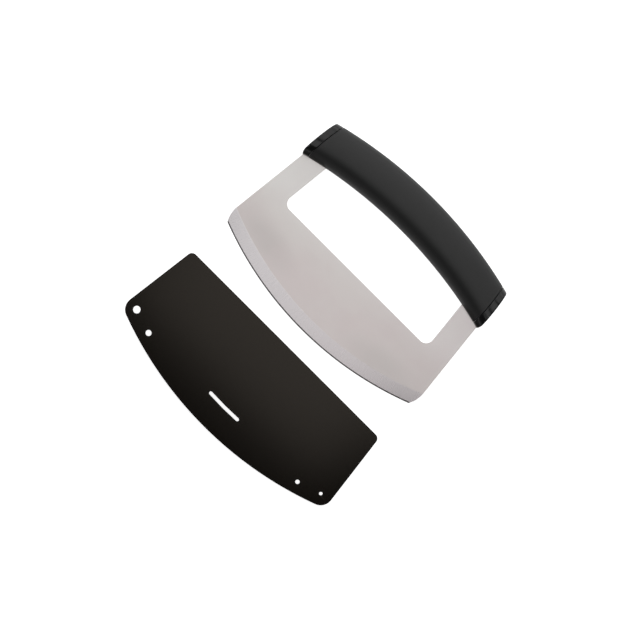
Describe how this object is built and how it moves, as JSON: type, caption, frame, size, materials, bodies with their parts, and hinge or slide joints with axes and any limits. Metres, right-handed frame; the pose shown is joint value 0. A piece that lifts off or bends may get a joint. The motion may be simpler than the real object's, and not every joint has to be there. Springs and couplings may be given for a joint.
{
  "type": "mezzaluna",
  "caption": "One-handed rocking chopper: curved steel blade with a hand window under an arched soft grip with gloss end caps, and a flat slide-on blade cover with herb-stripping holes.",
  "frame": {"origin": "middle of the bounding box of the knife and its drawn-off cover, level with the handle's lowest side", "axes": "+X along the blade, +Y from the cover and the cutting edge to the handle, +Z square to the blade, towards the viewer of the picture"},
  "size_m": [0.1874, 0.2132, 0.026],
  "materials": {
    "blade_steel": "fine satin grain, ground bevel along the edge",
    "fastener_steel": "bright zinc",
    "soft_grip": "matte black soft-touch",
    "gloss_cap": "polished black",
    "core_plastic": "moulded dark grey",
    "cover_plastic": "satin black"
  },
  "bodies": {
    "knife": {"blade": "blade_steel", "core_front": "core_plastic", "core_back": "core_plastic", "tang_pin_left": "fastener_steel", "tang_pin_right": "fastener_steel", "tang_screw_left": "fastener_steel", "tang_screw_right": "fastener_steel", "core_screw_left": "fastener_steel", "core_screw_middle": "fastener_steel", "core_screw_right": "fastener_steel", "grip_sleeve": "soft_grip", "end_cap_left": "gloss_cap", "end_cap_right": "gloss_cap"},
    "cover": {"cover_front_shell": "cover_plastic", "cover_back_shell": "cover_plastic"}
  },
  "joints": [
    {"name": "cover_slide", "type": "slide", "parent": "knife", "child": "cover", "axis": [0, 1, 0], "range_m": [0, 0.06395]}
  ]
}
